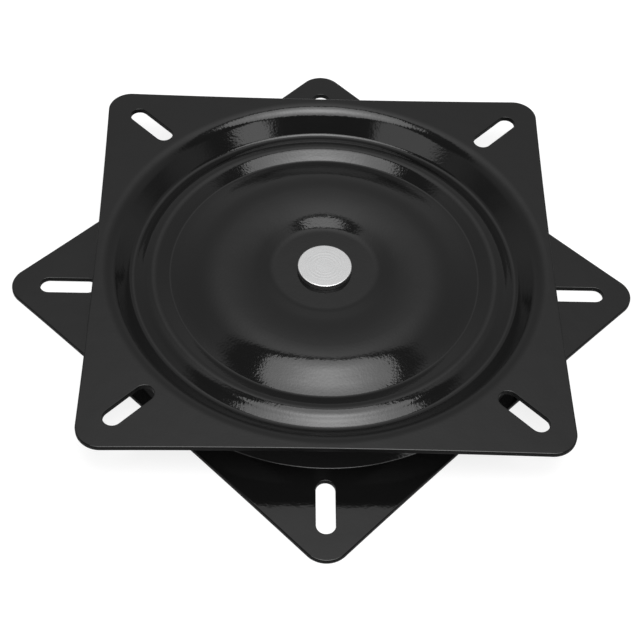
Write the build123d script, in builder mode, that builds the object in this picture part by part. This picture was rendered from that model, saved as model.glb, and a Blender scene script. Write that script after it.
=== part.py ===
import math
import os

from build123d import *

# Lazy susan bearing: two square pressed steel plates, laid corner over side, that turn on one
# ring of caged balls and are held together by a rivet on the axis.
# Millimetres, +Z up. The origin is on the turning axis, level with the underside of the lower
# flange. Both plates are the same pressing: the upper one stands dish down, the lower one is
# turned over and an eighth of a turn round.

os.makedirs("parts", exist_ok=True)

# Driving dimensions: plates
plate_side = 250.0
side_draw_in = 1.5
corner_radius = 13.0
sheet = 3.0
rim_break = 0.6
overall_height = 29.8
dish_gap = 1.6
plate_turn = 45.0

# Driving dimensions: screw slots, placed from the plate's corners
slot_width = 10.0
slot_length = 31.0
slot_margin = 15.7
slot_break = 0.4

# Driving dimensions: pressed section, from the flange inwards. Bends are inside radii, and the
# share is of the run from the boss to the crown.
flange_land = 3.8
shoulder_bend = 8.6
wall_slope = 46.0
foot_bend = 4.0
groove_outer_slope = 16.5
groove_bend = 4.6
groove_inner_slope = 20.5
trough_bend = 2.4
flank_run = 18.9
crown_depth = 3.9
crown_bend = 17.0
hollow_share = 0.24
hollow_depth = 6.7
hollow_bend = 27.0
boss_rise = 1.6
boss_land = 14.2
boss_bend = 2.0

# Driving dimensions: balls and cage
ball_diameter = 6.35
ball_count = 28
cage_sheet = 1.5
cage_width = 10.0

# Driving dimensions: rivet and spacer washer
head_radius = 14.7
head_height = 3.2
head_round = 0.6
shank_radius = 8.0
tail_radius = 12.5
tail_height = 2.8
tail_flat = 7.0
washer_radius = 17.5

# Clearances between pieces
ball_play = 0.15
pocket_play = 0.3
turning_fit = 0.08
drive_fit = 0.02
head_play = 0.1
washer_play = 0.15

# Levels that follow, and slopes in radians
middle = overall_height / 2
dish_depth = (overall_height - dish_gap) / 2 - sheet
boss_depth = dish_depth - boss_rise
boss_top = overall_height - boss_depth
boss_underside = boss_top - sheet
boss_gap = dish_gap + 2 * boss_rise
ball_radius = ball_diameter / 2
crest_depth = overall_height - (middle + ball_radius + ball_play + sheet)
wall = math.radians(wall_slope)
outer = math.radians(groove_outer_slope)
inner = math.radians(groove_inner_slope)


def bend_rise(radius, slope_a, slope_b):
    """Height from the corner of two slopes to the level point of the bend that rounds it."""
    half_turn = (slope_a + slope_b) / 2
    lean = (slope_a - slope_b) / 2
    return radius * (math.cos(lean) / math.cos(half_turn) - 1)


# Depths of the section's corner points below the flange's outer face
floor_corner = dish_depth + bend_rise(foot_bend, wall, outer)
crest_corner = crest_depth - bend_rise(groove_bend + sheet, outer, inner)

# Radii of the section's corner points, from the flange inwards and from the rivet outwards
shoulder_start = plate_side / 2 - flange_land
shoulder_radius = shoulder_start - (shoulder_bend + sheet) * math.tan(wall / 2)
foot_radius = shoulder_radius - floor_corner / math.tan(wall)
race_corner = foot_radius - (floor_corner - crest_corner) / math.tan(outer)
trough_radius = race_corner - (floor_corner - crest_corner) / math.tan(inner)
crown_radius = trough_radius - flank_run
boss_radius = head_radius + boss_land
hollow_radius = boss_radius + hollow_share * (crown_radius - boss_radius)
brow_radius = (hollow_radius + crown_radius) / 2

# The crown is level from the flank to the brow, which takes up half of each run beside it
brow_turn = math.atan((hollow_depth - crown_depth) / (brow_radius - hollow_radius))
brow_bend = (brow_radius - hollow_radius) / 2 / math.tan(brow_turn / 2)
flank_turn = math.atan((floor_corner - crown_depth) / flank_run)
crown_limit = (crown_radius - brow_radius) / 2 / math.tan(flank_turn / 2)

# The balls run under the level point of the crest, just off the corner of its two slopes
race_radius = race_corner + (groove_bend + sheet) * math.sin((inner - outer) / 2) / math.cos((inner + outer) / 2)

# Slots lie on the diagonals, a margin inside the rounded corners
corner_reach = plate_side / math.sqrt(2) - corner_radius * (math.sqrt(2) - 1)
slot_reach = corner_reach - slot_margin - slot_length / 2


def pressed_plate(face, hole_radius):
    """One pressing. `face` lies on the flange's outer face and looks away from the other plate."""
    with BuildPart() as plate:
        # Flange: square with slightly drawn-in sides, its rims broken
        half = plate_side / 2
        inset = half - side_draw_in
        with BuildSketch(face):
            with BuildLine():
                ThreePointArc((-half, half), (0, inset), (half, half))
                ThreePointArc((half, half), (inset, 0), (half, -half))
                ThreePointArc((half, -half), (0, -inset), (-half, -half))
                ThreePointArc((-half, -half), (-inset, 0), (-half, half))
            outline = make_face()
            fillet(outline.vertices(), radius=corner_radius)
        extrude(amount=-sheet)
        levels = plate.edges().group_by(Axis.Z)
        chamfer(levels[0] + levels[-1], length=rim_break)

        # Slots that point outwards, one in each corner
        with BuildSketch(face):
            with PolarLocations(slot_reach, 4, start_angle=45):
                SlotOverall(slot_length, slot_width)
        extrude(amount=-sheet, mode=Mode.SUBTRACT)
        mouths = plate.edges(Select.LAST).filter_by(face)
        chamfer(mouths, length=slot_break)

        # Dish, ball groove, crown and rivet boss: one turned section, joined to the flange
        seam_radius = shoulder_start + rim_break
        with BuildSketch(face):
            Circle(seam_radius)
        extrude(amount=-sheet, mode=Mode.SUBTRACT)
        section = Plane(origin=face.origin, x_dir=face.x_dir, z_dir=-face.y_dir)
        with BuildSketch(section):
            with BuildLine():
                FilletPolyline(
                    (seam_radius, 0),
                    (shoulder_radius, 0),
                    (foot_radius, -floor_corner),
                    (race_corner, -crest_corner),
                    (trough_radius, -floor_corner),
                    (crown_radius, -crown_depth),
                    (brow_radius, -crown_depth),
                    (hollow_radius, -hollow_depth),
                    (boss_radius, -boss_depth),
                    (hole_radius, -boss_depth),
                    radius=(
                        shoulder_bend + sheet,
                        foot_bend,
                        groove_bend + sheet,
                        trough_bend,
                        min(crown_bend + sheet, crown_limit),
                        brow_bend,
                        hollow_bend + sheet,
                        boss_bend,
                    ),
                )
                offset(amount=sheet, side=Side.LEFT)
            make_face()
        revolve(axis=Axis(face.origin, face.z_dir))
    return plate


# Upper plate: turns on the rivet's shank
upper_face = Plane(origin=(0, 0, overall_height), x_dir=(1, 0, 0), z_dir=(0, 0, 1))
upper_plate = pressed_plate(upper_face, shank_radius + turning_fit)
upper_plate.part.label = "upper_plate"
export_step(upper_plate.part, "parts/upper_plate.step")

# Lower plate: turned over, with the rivet driven tight in it
turn = math.radians(plate_turn)
lower_face = Plane(origin=(0, 0, 0), x_dir=(math.cos(turn), math.sin(turn), 0), z_dir=(0, 0, -1))
lower_plate = pressed_plate(lower_face, shank_radius + drive_fit)
lower_plate.part.label = "lower_plate"
export_step(lower_plate.part, "parts/lower_plate.step")

# Centre rivet: flat head above, shank through both bosses, tail set below
head_seat = boss_top + head_play
head_top = head_seat + head_height
tail_seat = overall_height - boss_top
tail_end = tail_seat - tail_height
with BuildPart() as centre_rivet:
    with BuildSketch(Plane.XZ):
        with BuildLine():
            Polyline(
                (0, head_top),
                (head_radius, head_top),
                (head_radius, head_seat),
                (shank_radius, head_seat),
                (shank_radius, tail_seat),
                (tail_radius, tail_seat),
            )
            SagittaArc((tail_radius, tail_seat), (tail_flat, tail_end), -tail_height / 4)
            Polyline((tail_flat, tail_end), (0, tail_end), (0, head_top))
        make_face()
    revolve(axis=Axis.Z)
    fillet(centre_rivet.edges().group_by(Axis.Z)[-1], radius=head_round)
centre_rivet.part.label = "centre_rivet"
export_step(centre_rivet.part, "parts/centre_rivet.step")

# Spacer washer: lies on the lower boss, and the upper boss runs just above it
with BuildPart() as spacer_washer:
    with BuildSketch(Plane.XY.offset(overall_height - boss_underside)):
        Circle(washer_radius)
        Circle(shank_radius + washer_play, mode=Mode.SUBTRACT)
    extrude(amount=boss_gap - head_play)
spacer_washer.part.label = "spacer_washer"
export_step(spacer_washer.part, "parts/spacer_washer.step")

# Ball cage: flat ring halfway between the plates, with a round pocket for each ball
with BuildPart() as ball_cage:
    with BuildSketch(Plane.XY.offset(middle - cage_sheet / 2)):
        Circle(race_radius + cage_width / 2)
        Circle(race_radius - cage_width / 2, mode=Mode.SUBTRACT)
        with PolarLocations(race_radius, ball_count):
            Circle(ball_radius + pocket_play, mode=Mode.SUBTRACT)
    extrude(amount=cage_sheet)
ball_cage.part.label = "ball_cage"
export_step(ball_cage.part, "parts/ball_cage.step")

# Balls: one in each pocket, halfway between the two grooves
for index in range(ball_count):
    bearing = math.radians(index * 360 / ball_count)
    centre = (race_radius * math.cos(bearing), race_radius * math.sin(bearing), middle)
    with BuildPart() as ball:
        with Locations(centre):
            Sphere(ball_radius)
    ball.part.label = f"ball_{index + 1:02d}"
    export_step(ball.part, f"parts/{ball.part.label}.step")
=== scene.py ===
import math

import bmesh
import bpy
import numpy as np
from mathutils import Matrix, Vector
from mathutils.geometry import delaunay_2d_cdt


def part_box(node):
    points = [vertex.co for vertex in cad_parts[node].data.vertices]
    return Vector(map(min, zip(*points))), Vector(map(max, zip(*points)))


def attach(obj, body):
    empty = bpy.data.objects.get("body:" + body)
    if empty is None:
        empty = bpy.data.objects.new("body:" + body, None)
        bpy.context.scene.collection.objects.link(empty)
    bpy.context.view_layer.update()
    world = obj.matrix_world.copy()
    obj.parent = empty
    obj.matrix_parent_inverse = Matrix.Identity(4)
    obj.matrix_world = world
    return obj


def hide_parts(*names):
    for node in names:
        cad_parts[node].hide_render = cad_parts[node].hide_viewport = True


# Lazy susan bearing: two pressed square plates in black gloss enamel, one ring of caged balls
# between them, and a plated rivet on the axis. Metres, +Z up, origin on the turning axis. The
# cage keeps its CAD mesh, and every other piece is built here in its CAD place.

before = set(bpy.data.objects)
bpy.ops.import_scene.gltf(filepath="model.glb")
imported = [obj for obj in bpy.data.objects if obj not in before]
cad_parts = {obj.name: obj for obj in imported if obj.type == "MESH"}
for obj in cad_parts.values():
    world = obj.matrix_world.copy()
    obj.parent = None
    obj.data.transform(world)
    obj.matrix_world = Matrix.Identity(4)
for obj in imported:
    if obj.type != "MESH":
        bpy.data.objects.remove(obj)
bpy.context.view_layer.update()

MM = 0.001

# Places that the CAD model fixes
overall_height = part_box("upper_plate")[1].z
rivet_low, rivet_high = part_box("centre_rivet")
washer_low, washer_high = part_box("spacer_washer")
ball_names = sorted(
    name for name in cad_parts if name.startswith("ball_") and name != "ball_cage"
)

# Blank: a square with slightly drawn-in sides, round corners and four slots on its diagonals
sheet = 3.0 * MM
plate_side = 250.0 * MM
side_draw_in = 1.5 * MM
corner_radius = 13.0 * MM
rim_round = 0.6 * MM
slot_width = 10.0 * MM
slot_length = 31.0 * MM
slot_margin = 15.7 * MM
slot_round = 0.4 * MM
slot_bearings = [math.radians(45 + 90 * corner) for corner in range(4)]
plate_turn = math.radians(45)

# Pressed section from the seam with the flange to the boss, in millimetres: radius, depth below
# the flange's outer face, and bend of the outer face. The seam has no bend.
section_corners = [
    (121.8, 0.0, None),  # seam
    (116.3, 0.0, 11.6),  # shoulder
    (104.4, 12.27, 3.2),  # foot of the wall
    (99.6, 10.45, 12.0),  # ball groove, from its outer side
    (97.2, 9.15, 10.0),
    (93.4, 8.21, 5.0),  # over the balls
    (91.2, 8.45, 7.0),
    (86.8, 10.5, 55.0),
    (83.9, 11.92, 2.0),  # trough
    (79.8, 10.72, 63.0),  # flank
    (63.2, 4.57, 39.0),  # crown, outer side
    (48.4, 4.57, 80.0),  # crown, inner side
    (38.0, 6.6, 43.0),  # hollow
    (28.9, 9.5, 12.0),  # boss
]
seam_radius = section_corners[0][0] * MM
upper_shoulder_bend = section_corners[1][2] * MM
lower_shoulder_bend = 4.2 * MM

# Rivet: sizes from the head down, and the rounding of each of its corners
head_radius = rivet_high.x
head_height = 3.2 * MM
head_round = 0.6 * MM
head_under_round = 0.1 * MM
shank_radius = 8.0 * MM
shank_fillet = 0.05 * MM
tail_radius = 12.5 * MM
tail_height = 2.8 * MM
tail_flat = 7.0 * MM
tail_rim_round = 0.3 * MM
tail_end_round = 2.5 * MM

# Washer, and the plates' fits on the shank
washer_bore = 8.15 * MM
washer_round = 0.2 * MM
turning_fit = 0.08 * MM
drive_fit = 0.02 * MM

# Steps of the meshes round a full turn, a quarter or half circle, or a side
turn_steps = 288
rivet_steps = 192
washer_steps = 128
ball_columns = 36
ball_rows = 18
corner_steps = 20
side_steps = 24
slot_end_steps = 14
rim_steps = 5

# Steps along a bent line, the short step that keeps a flat's shading flat, and how close points
# count as one
bend_step = math.radians(4)
arc_step = 2.0 * MM
run_step = 3.0 * MM
easing = 0.35 * MM
weld_reach = 1e-7
plan_reach = 1e-9


# Shape tools


def left_of(heading):
    """Unit vectors a quarter turn left of the headings, as rows."""
    return np.stack([-np.sin(heading), np.cos(heading)], axis=-1)


def full_turn(steps):
    """Evenly spaced angles all the way round, without the last, which is the first again."""
    return np.arange(steps) * 2 * math.pi / steps


def run_stations(length):
    """Distances along a straight run: one close to each end, so that shading stays flat, and
    even steps between."""
    if length < 3 * easing:
        return np.empty(0)
    return np.linspace(easing, length - easing, max(2, math.ceil(length / run_step) + 1))


def bent_line(corners, radii):
    """Straight runs joined by tangent arcs. A corner that turns by t is cut back by
    radius * tan(t / 2) on both sides, and the arc's centre stands one radius beside the run.
    Returns the points and the headings there."""
    corners = [np.array(corner, float) for corner in corners]
    here = corners[0]
    first = corners[1] - here
    points = [here[None]]
    headings = [np.array([math.atan2(first[1], first[0])])]

    def add_run(start, along, length, heading):
        stations = run_stations(length)
        points.append(start + stations[:, None] * along)
        headings.append(np.full(len(stations), heading))

    for corner, after, radius in zip(corners[1:], corners[2:], radii):
        way_in = corner - here
        way_out = after - corner
        heading = math.atan2(way_in[1], way_in[0])
        change = math.atan2(way_out[1], way_out[0]) - heading
        turn = (change + math.pi) % (2 * math.pi) - math.pi
        side = math.copysign(1, turn)
        length = np.linalg.norm(way_in) - radius * math.tan(abs(turn) / 2)
        along = np.array([math.cos(heading), math.sin(heading)])
        add_run(here, along, length, heading)
        start = here + along * length
        centre = start + side * radius * left_of(heading)
        steps = max(abs(turn) / bend_step, abs(turn) * radius / arc_step, 2)
        swing = heading + np.linspace(0, turn, math.ceil(steps) + 1)
        arc = centre - side * radius * left_of(swing)
        points.append(arc)
        headings.append(swing)
        here = arc[-1]
    way = corners[-1] - here
    heading = math.atan2(way[1], way[0])
    length = np.linalg.norm(way)
    add_run(here, way / length, length, heading)
    points.append(corners[-1][None])
    headings.append(np.array([heading]))
    return np.concatenate(points), np.concatenate(headings)


def grid_faces(rows, columns):
    """Quads between neighbouring rows of a grid whose columns run all the way round."""
    row = np.arange(rows - 1)[:, None] * columns
    column = np.arange(columns)[None, :]
    next_row = row + columns
    next_column = (column + 1) % columns
    quads = [row + column, next_row + column, next_row + next_column, row + next_column]
    return np.stack(quads, axis=-1).reshape(-1, 4)


def revolved(profile, steps):
    """Profile points (radius, height) carried round the axis: x = r cos a, y = r sin a, z = h."""
    angle = full_turn(steps)
    radius = profile[:, 0][:, None]
    height = np.repeat(profile[:, 1][:, None], steps, axis=1)
    points = np.stack([radius * np.cos(angle), radius * np.sin(angle), height], axis=-1)
    return points.reshape(-1, 3), grid_faces(len(profile), steps)


def carried_edge(outline, normals, edge):
    """An edge profile (inset, drop) carried along a closed outline: each ring is the outline
    moved against its outward normal by the inset, and lowered by the drop."""
    rings = outline[None] - normals[None] * edge[:, 0][:, None, None]
    drop = np.broadcast_to(-edge[:, 1][:, None, None], rings.shape[:2] + (1,))
    points = np.concatenate([rings, drop], axis=-1)
    return points.reshape(-1, 3), grid_faces(len(edge), len(outline))


def sheet_edge(rounding):
    """Edge of the sheet: flat, quarter round, wall, quarter round, flat. Quarter rounds follow
    inset = r (1 - sin a), drop = r (1 - cos a)."""
    angle = np.linspace(0, math.pi / 2, rim_steps + 1)
    quarter = np.stack([rounding * (1 - np.sin(angle)), rounding * (1 - np.cos(angle))], axis=-1)
    above = np.concatenate([[[rounding + easing, 0.0]], quarter])
    wall = np.array([[0.0, rounding + easing], [0.0, sheet - rounding - easing]])
    below = above[::-1] * [1, -1] + [0, sheet]
    return np.concatenate([above, wall, below])


def plain_mesh(name, points, faces):
    """A mesh from lists of points and faces."""
    mesh = bpy.data.meshes.new(name)
    mesh.from_pydata(points, [], faces)
    return mesh


def linked(name, data):
    """A new object with this data, linked to the scene."""
    holder = bpy.data.objects.new(name, data)
    bpy.context.scene.collection.objects.link(holder)
    return holder


def built_piece(name, parts):
    """One closed mesh object from (points, faces) parts: welded where they meet, with its
    normals outwards, and smooth."""
    shell = bmesh.new()
    for points, faces in parts:
        mesh = plain_mesh("part", points.tolist(), faces.tolist())
        shell.from_mesh(mesh)
        bpy.data.meshes.remove(mesh)
    bmesh.ops.remove_doubles(shell, verts=shell.verts, dist=weld_reach)
    bmesh.ops.recalc_face_normals(shell, faces=shell.faces)
    if shell.calc_volume(signed=True) < 0:
        bmesh.ops.reverse_faces(shell, faces=shell.faces)
    mesh = bpy.data.meshes.new(name)
    shell.to_mesh(mesh)
    shell.free()
    mesh.polygons.foreach_set("use_smooth", np.ones(len(mesh.polygons), bool))
    return linked(name, mesh)


# Pressed plates


def turned(points, angle):
    """Plan points turned about the axis."""
    cosine, sine = math.cos(angle), math.sin(angle)
    return points @ np.array([[cosine, sine], [-sine, cosine]])


def quarter_outline():
    """A quarter of the blank's outline, from the middle of its right side to the middle of its
    top side, with its outward normals. The sides are arcs about far centres outside, and the
    corner's circle, centred on the diagonal, touches both: its centre (t, t) is one side radius
    plus one corner radius from each side's centre."""
    half = plate_side / 2
    side_radius = (half**2 + side_draw_in**2) / (2 * side_draw_in)
    far = half - side_draw_in + side_radius
    reach = side_radius + corner_radius
    centre = (far - math.sqrt(2 * reach**2 - far**2)) / 2
    lean = math.atan2(centre, far - centre)
    swing = np.linspace(0, lean, side_steps, endpoint=False)
    cosine, sine = np.cos(swing), np.sin(swing)
    side_points = np.stack([far - side_radius * cosine, side_radius * sine], axis=-1)
    side_normals = np.stack([cosine, -sine], axis=-1)
    swing = np.linspace(-lean, math.pi / 2 + lean, corner_steps)
    corner_normals = np.stack([np.cos(swing), np.sin(swing)], axis=-1)
    corner_points = centre + corner_radius * corner_normals
    # The top side mirrors the right side about the diagonal, without the right side's middle
    mirrored = (slice(None, 0, -1), slice(None, None, -1))
    points = np.concatenate([side_points, corner_points, side_points[mirrored]])
    normals = np.concatenate([side_normals, corner_normals, side_normals[mirrored]])
    return points, normals


def blank_outline():
    """The whole outline and its normals: the quarter turned four times."""
    turns = [quarter * math.pi / 2 for quarter in range(4)]
    return [
        np.concatenate([turned(rows, angle) for angle in turns]) for rows in quarter_outline()
    ]


def slot_outline(bearing):
    """A slot that points away from the axis: two half circles joined by straight sides. Its
    normals point into it."""
    corner_reach = plate_side / math.sqrt(2) - corner_radius * (math.sqrt(2) - 1)
    slot_reach = corner_reach - slot_margin - slot_length / 2
    swing = np.linspace(-math.pi / 2, math.pi / 2, slot_end_steps)
    away = np.stack([np.cos(swing), np.sin(swing)], axis=-1)
    half_straight = (slot_length - slot_width) / 2
    end = away * slot_width / 2 + [half_straight, 0]
    points = np.concatenate([end, -end]) + [slot_reach, 0]
    normals = np.concatenate([-away, away])
    return turned(points, bearing), turned(normals, bearing)


def flat_land(loops, level):
    """Triangles of the flange's flat between its outline, the first loop, and the loops inside
    it. A triangle whose corners all lie on one inner loop is inside that hole, and is left out."""
    plan = np.concatenate(loops)
    owner = np.concatenate([np.full(len(loop), index) for index, loop in enumerate(loops)])
    edges = []
    start = 0
    for loop in loops:
        index = np.arange(len(loop))
        edges += np.stack([start + index, start + (index + 1) % len(loop)], axis=-1).tolist()
        start += len(loop)
    corners = [Vector(point) for point in plan.tolist()]
    within_outline = 1
    flat = delaunay_2d_cdt(corners, edges, [], within_outline, plan_reach)
    triangles = np.array(flat[2])
    source = np.array([origin[0] for origin in flat[3]])
    first, second, third = owner[source][triangles].T
    in_hole = (first == second) & (second == third) & (first > 0)
    points = np.array([[*plan[index], level] for index in source])
    return points, triangles[~in_hole]


def pressed_section(hole_radius, shoulder_bend):
    """The dish's section as one line: from the seam with the flange along the outer face to the
    hole, and back along the underside, one sheet below the face along its normals."""
    corners = [(radius * MM, -depth * MM) for radius, depth, _ in section_corners]
    corners.append((hole_radius, corners[-1][1]))
    bends = [shoulder_bend] + [bend * MM for _, _, bend in section_corners[2:]]
    face, headings = bent_line(corners, bends)
    underside = face + sheet * left_of(headings)
    return np.concatenate([face, underside[::-1]])


def pressed_plate(name, hole_radius, shoulder_bend, axes, origin):
    """One pressing, made face up and then laid on its plane: the turned dish, flange flats above
    and below, and carried rims."""
    outline, outward = blank_outline()
    slots = [slot_outline(bearing) for bearing in slot_bearings]
    seam_angle = full_turn(turn_steps)
    seam = seam_radius * np.stack([np.cos(seam_angle), np.sin(seam_angle)], axis=-1)
    outer_edge = sheet_edge(rim_round)
    slot_edge = sheet_edge(slot_round)
    parts = [carried_edge(outline, outward, outer_edge)]
    parts += [carried_edge(points, normals, slot_edge) for points, normals in slots]
    loops = [outline - outward * outer_edge[0, 0], seam]
    loops += [points - normals * slot_edge[0, 0] for points, normals in slots]
    parts += [flat_land(loops, level) for level in (0.0, -sheet)]
    parts.append(revolved(pressed_section(hole_radius, shoulder_bend), turn_steps))
    placed = [(points @ np.array(axes) + np.array(origin), faces) for points, faces in parts]
    return built_piece(name, placed)


level_axes = [(1, 0, 0), (0, 1, 0), (0, 0, 1)]
cos_turn = math.cos(plate_turn)
sin_turn = math.sin(plate_turn)
turned_over_axes = [(cos_turn, sin_turn, 0), (sin_turn, -cos_turn, 0), (0, 0, -1)]
upper = pressed_plate(
    "upper_pressing",
    shank_radius + turning_fit,
    upper_shoulder_bend,
    level_axes,
    (0, 0, overall_height),
)
lower = pressed_plate(
    "lower_pressing",
    shank_radius + drive_fit,
    lower_shoulder_bend,
    turned_over_axes,
    (0, 0, 0),
)


# Rivet, washer and balls


def turned_piece(name, corners, radii, steps):
    """A closed turned piece: a bent line, from pole to pole or round a ring's section back to its
    start, carried round the axis."""
    line, _ = bent_line(corners, radii)
    return built_piece(name, [revolved(line, steps)])


head_seat = rivet_high.z - head_height
tail_seat = rivet_low.z + tail_height
rivet = turned_piece(
    "set_rivet",
    [
        (0, rivet_high.z),
        (head_radius, rivet_high.z),
        (head_radius, head_seat),
        (shank_radius, head_seat),
        (shank_radius, tail_seat),
        (tail_radius, tail_seat),
        (tail_flat, rivet_low.z),
        (0, rivet_low.z),
    ],
    [head_round, head_under_round, shank_fillet, shank_fillet, tail_rim_round, tail_end_round],
    rivet_steps,
)

washer_middle = (washer_bore + washer_high.x) / 2
washer = turned_piece(
    "nylon_spacer",
    [
        (washer_middle, washer_high.z),
        (washer_high.x, washer_high.z),
        (washer_high.x, washer_low.z),
        (washer_bore, washer_low.z),
        (washer_bore, washer_high.z),
        (washer_middle, washer_high.z),
    ],
    [washer_round] * 4,
    washer_steps,
)


def ball_piece(name, centre, radius):
    """A ball: latitude rings of radius r sin t at height r cos t, from pole to pole."""
    latitude = np.linspace(0, math.pi, ball_rows)
    profile = np.stack([radius * np.sin(latitude), radius * np.cos(latitude)], axis=-1)
    points, faces = revolved(profile, ball_columns)
    return built_piece(name, [(points + np.array(centre), faces)])


balls = []
for node in ball_names:
    low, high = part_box(node)
    balls.append((node, ball_piece("bearing_" + node, (low + high) / 2, (high.z - low.z) / 2)))


# Node trees


class Signal:
    """An output of a node. Sums, differences, products, quotients and powers of it add Math
    nodes."""

    def __init__(self, finish, socket):
        self.finish = finish
        self.socket = socket

    def __add__(self, other):
        return self.finish.maths("ADD", self, other)

    def __radd__(self, other):
        return self.finish.maths("ADD", other, self)

    def __sub__(self, other):
        return self.finish.maths("SUBTRACT", self, other)

    def __rsub__(self, other):
        return self.finish.maths("SUBTRACT", other, self)

    def __mul__(self, other):
        return self.finish.maths("MULTIPLY", self, other)

    def __rmul__(self, other):
        return self.finish.maths("MULTIPLY", other, self)

    def __truediv__(self, other):
        return self.finish.maths("DIVIDE", self, other)

    def __pow__(self, other):
        return self.finish.maths("POWER", self, other)

    def __rpow__(self, other):
        return self.finish.maths("POWER", other, self)

    def clipped(self, low=0.0, high=1.0):
        """The value kept between two limits."""
        return self.finish.maths("MINIMUM", self.finish.maths("MAXIMUM", self, low), high)


class Finish:
    """The node tree of a material, a lamp or the world."""

    def __init__(self, tree):
        self.tree = tree
        tree.nodes.clear()

    def node(self, kind, settings=None, sockets=None, output=0):
        """Adds a node: its settings first, then the values or links of its sockets. Returns one
        of its outputs, or nothing if it has none."""
        made = self.tree.nodes.new(kind)
        for name, value in (settings or {}).items():
            setattr(made, name, value)
        for name, value in (sockets or {}).items():
            if isinstance(value, Signal):
                self.tree.links.new(value.socket, made.inputs[name])
            else:
                made.inputs[name].default_value = value
        return Signal(self, made.outputs[output]) if made.outputs else None

    def maths(self, operation, *values):
        """A Math node on numbers or signals."""
        return self.node("ShaderNodeMath", {"operation": operation}, dict(enumerate(values)))

    def part(self, vector, axis):
        """The X, Y or Z part of a vector."""
        return self.node("ShaderNodeSeparateXYZ", {}, {"Vector": vector}, output=axis)

    def place(self):
        """Object coordinates, in metres in the bearing's own frame."""
        return self.node("ShaderNodeTexCoord", output="Object")

    def stretched(self, where, scale):
        """Coordinates scaled along X, Y and Z, so that a pattern is drawn out where they are
        small and packed where they are large."""
        return self.node("ShaderNodeMapping", {}, {"Vector": where, "Scale": scale})

    def noise(self, where, width, detail=2.0, rough=0.5):
        """Smooth random values from about 0.3 to 0.7 whose lumps are about as wide as asked."""
        return self.node(
            "ShaderNodeTexNoise",
            {"normalize": True},
            {"Vector": where, "Scale": 1 / width, "Detail": detail, "Roughness": rough},
        )

    def blended(self, factor, first, second):
        """A colour between two, by a factor."""
        sockets = {0: factor, 6: first, 7: second}
        return self.node("ShaderNodeMix", {"data_type": "RGBA"}, sockets, output=2)

    def bump(self, height, depth):
        """Normals of a surface raised by height * depth."""
        sockets = {"Height": height, "Strength": 1.0, "Distance": depth}
        return self.node("ShaderNodeBump", {}, sockets)

    def glow(self, level):
        """White light of this strength."""
        return self.node("ShaderNodeEmission", {}, {"Color": grey(1.0), "Strength": level})

    def surface(self, sockets):
        """A Principled surface with these sockets, wired to the output."""
        shader = self.node("ShaderNodeBsdfPrincipled", {}, sockets)
        self.node("ShaderNodeOutputMaterial", {}, {"Surface": shader})


def finish_for(name):
    """A new material with an empty tree."""
    material = bpy.data.materials.new(name)
    material.use_nodes = True
    return material, Finish(material.node_tree)


def grey(value, warmth=0.0):
    """A grey, slightly warm or cool."""
    return (value * (1 + warmth), value, value * (1 - warmth), 1.0)


def varied(base, field, swing, level=0.5):
    """A value that swings about its base as a random field moves about its level."""
    return base + (field - level) * swing


def rising(value, start, width):
    """0 up to the start, 1 from one width past it, straight between."""
    return ((value - start) / width).clipped()


def falling(value, end, width):
    """1 up to one width before the end, 0 from the end on, straight between."""
    return ((end - value) / width).clipped()


def bell(off):
    """About exp(-off), with off as a squared distance: 1 in the middle, and fading softly."""
    base = 2.718
    return base ** (0 - off)


# Finishes of the pieces


def black_enamel():
    """Gloss black stoving enamel over pressed steel: nearly black body, a faint orange peel over
    a slower flow, a little fine dust."""
    material, finish = finish_for("black_enamel")
    where = finish.place()
    peel = finish.noise(where, 1.3 * MM, detail=1.5)
    flow = finish.noise(where, 14 * MM, detail=1.0)
    dust = finish.noise(where, 0.5 * MM, detail=3.0, rough=0.7)
    speck_from, speck_gain, speck_cover = 0.66, 14, 0.25
    specks = ((dust - speck_from) * speck_gain).clipped()
    peel_height, flow_height = 1.8, 6.0
    height = peel * peel_height + flow * flow_height
    gloss, flow_swing, speck_dulling = 0.085, 0.06, 0.1
    finish.surface(
        {
            "Base Color": finish.blended(specks * speck_cover, grey(0.006), grey(0.05)),
            "Roughness": varied(gloss, flow, flow_swing) + specks * speck_dulling,
            "IOR": 1.5,
            "Normal": finish.bump(height, 0.020 * MM),
        }
    )
    return material


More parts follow.
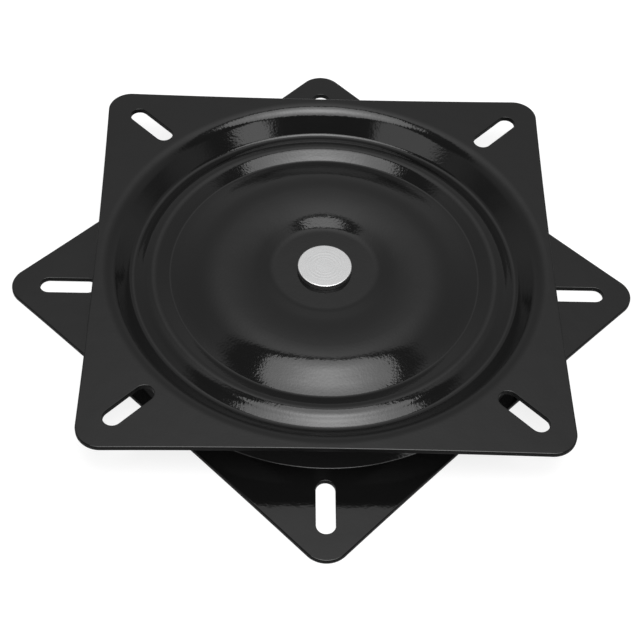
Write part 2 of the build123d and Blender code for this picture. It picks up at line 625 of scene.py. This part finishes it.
def plated_steel():
    """Bright zinc plate on the rivet: pale metal, satin from tumbling, with faint rings from the
    setting tool, a duller rim whose paler colour is a painted highlight, and painted shade on the
    head's side."""
    material, finish = finish_for("plated_steel")
    where = finish.place()
    grain = finish.noise(where, 0.35 * MM, detail=3.0, rough=0.65)
    patches = finish.noise(where, 5 * MM, detail=2.0)
    x = finish.part(where, "X")
    y = finish.part(where, "Y")
    reach = (x * x + y * y) ** 0.5
    ring_pitch, ring_wander, ring_height = 1.9 * MM, 5, 0.6
    ring_start, ring_fade_in, ring_end, ring_fade_out = 3.5 * MM, 2 * MM, 12 * MM, 3 * MM
    rim_width, rim_fade, painted_shade_side_width, painted_shade_side_fade = 0.75 * MM, 0.3 * MM, 0.2 * MM, 0.15 * MM
    rings = finish.maths("SINE", reach * (2 * math.pi / ring_pitch) + patches * ring_wander)
    fading = rising(reach, ring_start, ring_fade_in) * falling(reach, ring_end, ring_fade_out)
    rim = rising(reach, head_radius - rim_width, rim_fade)
    # Painted shade: this mask darkens the head's side to a mid grey in the base colour.
    side = rising(reach, head_radius - painted_shade_side_width, painted_shade_side_fade)
    face_colour = finish.blended(patches, grey(0.94, -0.004), grey(0.99, -0.002))
    # Painted highlight: the rim's colour is raised to a pale grey; its higher roughness further
    # down is the duller rim.
    painted_highlight_rim_colour = finish.blended(rim, face_colour, grey(0.99))
    satin, grain_swing, patch_swing, rim_dulling = 0.27, 0.2, 0.1, 0.2
    roughness = varied(varied(satin, grain, grain_swing), patches, patch_swing)
    finish.surface(
        {
            # The side mask blends in a mid grey here, a painted shade on the head's side.
            "Base Color": finish.blended(side, painted_highlight_rim_colour, grey(0.3)),
            "Metallic": 1.0,
            "Roughness": roughness + rim * rim_dulling,
            "Normal": finish.bump(grain + rings * fading * ring_height, 0.012 * MM),
        }
    )
    return material


def natural_nylon():
    """Natural nylon: milky, with cloudy patches and a moulded satin skin."""
    material, finish = finish_for("natural_nylon")
    where = finish.place()
    cloud = finish.noise(where, 3 * MM, detail=2.0)
    grain = finish.noise(where, 0.25 * MM, detail=2.0)
    satin, cloud_swing = 0.42, 0.1
    finish.surface(
        {
            "Base Color": finish.blended(cloud, grey(0.62, 0.05), grey(0.72, 0.04)),
            "Roughness": varied(satin, cloud, cloud_swing),
            "Normal": finish.bump(grain, 0.01 * MM),
        }
    )
    return material


def strip_steel():
    """Cold rolled strip of the cage: grey metal with fine rolling grain along one way and a trace
    of oil."""
    material, finish = finish_for("strip_steel")
    where = finish.place()
    rolled = finish.stretched(where, (1.0, 12.0, 1.0))
    rolling = finish.noise(rolled, 3 * MM, detail=3.0, rough=0.6)
    oil = finish.noise(where, 9 * MM, detail=1.0)
    sheen, oil_swing = 0.3, 0.25
    finish.surface(
        {
            "Base Color": finish.blended(rolling, grey(0.36, 0.01), grey(0.5, 0.01)),
            "Metallic": 1.0,
            "Roughness": varied(sheen, oil, oil_swing),
            "Normal": finish.bump(rolling, 0.006 * MM),
        }
    )
    return material


def ball_steel():
    """Polished bearing steel with a thin, uneven film of grease."""
    material, finish = finish_for("ball_steel")
    where = finish.place()
    film = finish.noise(where, 2.5 * MM, detail=2.0)
    polish, film_swing, film_level = 0.1, 0.3, 0.4
    finish.surface(
        {
            "Base Color": finish.blended(film, grey(0.55), grey(0.68)),
            "Metallic": 1.0,
            "Roughness": varied(polish, film, film_swing, film_level),
            "Normal": finish.bump(film, 0.01 * MM),
        }
    )
    return material


def sheared_edge_painted_shade():
    """The plates' sheared rims, where the enamel runs thin over ragged steel and dries dull; their
    weak reflection is painted shade that keeps them dark.
    """
    material, finish = finish_for("sheared_edge_painted_shade")
    drawn_down = finish.stretched(finish.place(), (1.0, 1.0, 0.15))
    tears = finish.noise(drawn_down, 0.6 * MM, detail=3.0, rough=0.6)
    dullness, tear_swing = 0.5, 0.3
    finish.surface(
        {
            "Base Color": finish.blended(tears, grey(0.004), grey(0.011)),
            "Roughness": varied(dullness, tears, tear_swing),
            # Painted shade: the low IOR weakens the rims' reflection, so that they stay dark where
            # they would mirror the bright floor.
            "IOR": 1.12,
            "Normal": finish.bump(tears, 0.05 * MM),
        }
    )
    return material


def dress_rims(plate, material):
    """Gives a plate's rims their own finish, which holds painted shade: the faces outside the dish
    whose normals point further from the axis' direction than a limit."""
    upright_limit = 0.8
    polygons = plate.data.polygons
    plate.data.materials.append(material)
    centres = np.empty(len(polygons) * 3)
    normals = np.empty(len(polygons) * 3)
    polygons.foreach_get("center", centres)
    polygons.foreach_get("normal", normals)
    centres = centres.reshape(-1, 3)
    steep = np.abs(normals.reshape(-1, 3)[:, 2]) < upright_limit
    outside = np.hypot(centres[:, 0], centres[:, 1]) > seam_radius
    polygons.foreach_set("material_index", (steep & outside).astype(np.int32))


enamel = black_enamel()
zinc = plated_steel()
nylon = natural_nylon()
strip = strip_steel()
polished = ball_steel()
rim_finish_painted_shade = sheared_edge_painted_shade()

dressings = [
    (upper, enamel, "top", "plate_coat", ["upper_plate"]),
    (lower, enamel, "base", "plate_coat", ["lower_plate"]),
    (rivet, zinc, "base", "rivet_steel", ["centre_rivet"]),
    (washer, nylon, "base", "washer_nylon", ["spacer_washer"]),
]
dressings += [(piece, polished, "ball_ring", "ball_steel", [node]) for node, piece in balls]
for piece, material, body, slot, nodes in dressings:
    piece.data.materials.append(material)
    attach(piece, body)
    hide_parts(*nodes)
for plate in (upper, lower):
    dress_rims(plate, rim_finish_painted_shade)
for cage_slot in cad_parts["ball_cage"].material_slots:
    cage_slot.material = strip


# Floor

floor_reach = 4.0
floor_level = -0.0002
paper_glow = 0.82
shadow_share = 0.3


def seen_directly(finish):
    """1 for rays from the camera, a reflection or a see-through piece, 0 for scattered light."""
    camera_ray, glossy_ray, through_ray = (
        finish.node("ShaderNodeLightPath", output=f"Is {kind} Ray")
        for kind in ("Camera", "Glossy", "Transmission")
    )
    return (camera_ray + glossy_ray + through_ray).clipped()


def white_paper():
    """White paper: plain scattering for the room's light, and seen as white but for the bearing's
    soft shadow."""
    material, finish = finish_for("white_paper")
    fibre = finish.noise(finish.place(), 2 * MM, detail=3.0)
    tone = finish.blended(fibre, grey(0.78), grey(0.82))
    paper = finish.node("ShaderNodeBsdfDiffuse", {}, {"Color": tone})
    faint = finish.node("ShaderNodeBsdfDiffuse", {}, {"Color": grey(shadow_share)})
    shown = finish.node("ShaderNodeAddShader", {}, {0: faint, 1: finish.glow(paper_glow)})
    sockets = {0: seen_directly(finish), 1: paper, 2: shown}
    mixed = finish.node("ShaderNodeMixShader", {}, sockets)
    finish.node("ShaderNodeOutputMaterial", {}, {"Surface": mixed})
    return material


def paper_floor():
    """One wide sheet just below the lower flange."""
    signs = [(-1, -1), (1, -1), (1, 1), (-1, 1)]
    corners = [(x * floor_reach, y * floor_reach, floor_level) for x, y in signs]
    mesh = plain_mesh("floor", corners, [(0, 1, 2, 3)])
    floor = linked("floor", mesh)
    mesh.materials.append(white_paper())


paper_floor()


# Camera: heading about Z, elevation, roll, distance, the point that it looks at, and its lens

view_heading = math.radians(-3.163)
view_elevation = math.radians(51.35)
view_roll = math.radians(3.489)
view_distance = 0.8636
view_target = Vector((-0.8, -19.1, 0.0)) * MM
view_lens = 88.9
view_sensor = 36.0

shot = Matrix.Rotation(view_heading, 4, "Z")
camera_data = bpy.data.cameras.new("camera")
camera_data.lens = view_lens
camera_data.sensor_width = view_sensor
camera = linked("camera", camera_data)
camera.matrix_world = (
    shot
    @ Matrix.Translation(view_target)
    @ Matrix.Rotation(math.pi / 2 - view_elevation, 4, "X")
    @ Matrix.Rotation(view_roll, 4, "Z")
    @ Matrix.Translation((0, 0, view_distance))
)
bpy.context.scene.camera = camera


# Studio. Places are in degrees from the zenith, to the camera's right and to the back.

# Lamp: place, distance, half its angle as the bearing sees it, level, the rim's share of that
# level, and how fast the level falls off
lamp_place = (4, -14)
lamp_distance = 4.2
lamp_spread = math.radians(25)
lamp_level = 7.3
lamp_rim = 0.34
lamp_falloff = 16

# Dome that only mirrors see: radius, angle down from the zenith, steps, and highest level
dome_reach = 5.0
dome_span = math.radians(92)
dome_rows = 40
dome_columns = 80
dome_limit = 20.0

# Walls: the horizon's place, the level there, what is added above it, and over how many degrees
horizon = 90
wall_level = 0.13
wall_gain = 0.2
wall_band = 13

# Soft patches, a glow behind the lamp and a dark one on each side: place, reach and level
back_glow = ((0, 11), (20, 25), 1.0)
left_dark = ((-67, -3), (14, 18), 0.22)
right_dark = ((73, 9), (12, 14), 0.3)

# Dark surround of the lamp: half an oval at the back that runs on to the front with straight
# sides. Its middle, the line where the oval starts, its half widths, the furthest distance behind
# that line, its level, and the place and width of its edge in half widths
flag_right = 3
flag_back = -18
flag_half = (50, 33)
flag_far = 99
flag_level = 0.09
flag_edge = 1.05
flag_fade = 0.12

# Lit panels in front: place, half sides and level, and the width of their edges
left_panel = ((-36, -37), (19, 12), 1.15)
right_panel = ((37, -38), (11, 10), 2.0)
panel_edge = 3

# Level of the surroundings as a source of light
surround_level = 0.35


def studio_direction(right, back):
    """Unit vector whose zenith angle is split into parts to the right and to the back."""
    zenith = math.radians(math.hypot(right, back))
    turn = math.atan2(right, back)
    level_part = math.sin(zenith)
    return level_part * math.sin(turn), level_part * math.cos(turn), math.cos(zenith)


def round_softbox():
    """The overhead lamp: a round soft box that faces the bearing, brightest in the middle. Its
    power is level * pi * area, so that level is what it looks like in a mirror."""
    data = bpy.data.lights.new("overhead_softbox", "AREA")
    data.shape = "DISK"
    data.size = 2 * lamp_distance * math.tan(lamp_spread)
    data.energy = lamp_level * math.pi * math.pi * (data.size / 2) ** 2
    data.use_nodes = True
    finish = Finish(data.node_tree)
    spot = finish.node("ShaderNodeTexCoord", output="UV")
    apart = finish.part(spot, "X")
    across = finish.part(spot, "Y")
    middle = 0.5
    off_centre = (apart - middle) ** 2 + (across - middle) ** 2
    level = lamp_rim + (1 - lamp_rim) * bell(off_centre * lamp_falloff)
    finish.node("ShaderNodeOutputLight", {}, {"Surface": finish.glow(level)})
    lamp = linked("overhead_softbox", data)
    place = shot @ Vector(studio_direction(*lamp_place)) * lamp_distance
    facing = place.to_track_quat("Z", "Y").to_matrix().to_4x4()
    lamp.matrix_world = Matrix.Translation(place) @ facing


def studio_walls():
    """What the dome shows: walls that dim towards the horizon, with a dark patch at each side, a
    pale glow behind the lamp, a dark surround of the lamp and two lit panels in front."""
    material, finish = finish_for("studio_walls")
    heading = {"Vector": finish.place(), "Angle": -view_heading}
    where = finish.node("ShaderNodeVectorRotate", {"rotation_type": "Z_AXIS"}, heading)
    unit = finish.node("ShaderNodeVectorMath", {"operation": "NORMALIZE"}, {0: where})
    x, y, z = (finish.part(unit, axis) for axis in "XYZ")
    no_zero = 1e-6
    plan = (x * x + y * y + no_zero) ** 0.5
    angle = finish.maths("ARCCOSINE", z) * math.degrees(1)
    right = angle * x / plan
    back = angle * y / plan

    def patch(centre, reach, level):
        """A soft-edged patch: level * exp(-distance^2)."""
        wide = (right - centre[0]) / reach[0]
        high = (back - centre[1]) / reach[1]
        return level * bell(wide**2 + high**2)

    def panel(centre, half, level):
        """A panel with straight sides, its level falling to nothing over the edge's width."""
        wide = falling(finish.maths("ABSOLUTE", right - centre[0]), half[0], panel_edge)
        high = falling(finish.maths("ABSOLUTE", back - centre[1]), half[1], panel_edge)
        return level * wide * high

    walls = wall_level + wall_gain * falling(angle, horizon, wall_band)
    walls = walls - patch(*left_dark) - patch(*right_dark)
    ceiling = walls + patch(*back_glow)
    flag_wide = (right - flag_right) / flag_half[0]
    flag_high = (back - flag_back).clipped(0, flag_far) / flag_half[1]
    shaded = falling((flag_wide**2 + flag_high**2) ** 0.5, flag_edge, flag_fade)
    level = ceiling * (1 - shaded) + flag_level * shaded
    level = level + panel(*left_panel)
    level = level + panel(*right_panel)
    shown = finish.glow(level.clipped(0.0, dome_limit))
    finish.node("ShaderNodeOutputMaterial", {}, {"Surface": shown})
    return material


def studio_shell():
    """Ceiling and walls of the studio, which only mirrors see."""
    zenith = np.linspace(0.0, dome_span, dome_rows)
    profile = np.stack([np.sin(zenith), np.cos(zenith)], axis=-1) * dome_reach
    points, faces = revolved(profile, dome_columns)
    mesh = plain_mesh("studio_shell", points.tolist(), faces.tolist())
    shell = linked("studio_shell", mesh)
    mesh.materials.append(studio_walls())
    shell.visible_camera = False
    shell.visible_diffuse = False
    shell.visible_transmission = False
    shell.visible_volume_scatter = False
    shell.visible_shadow = False


def studio_world():
    """White surroundings where they are seen directly, dim ones as a source of light."""
    world = bpy.data.worlds.new("studio")
    world.use_nodes = True
    bpy.context.scene.world = world
    finish = Finish(world.node_tree)
    seen = seen_directly(finish)
    level = seen + (1 - seen) * surround_level
    sockets = {"Color": grey(1.0), "Strength": level}
    background = finish.node("ShaderNodeBackground", {}, sockets)
    finish.node("ShaderNodeOutputWorld", {}, {"Surface": background})


round_softbox()
studio_shell()
studio_world()
bpy.context.scene.view_settings.view_transform = "Standard"
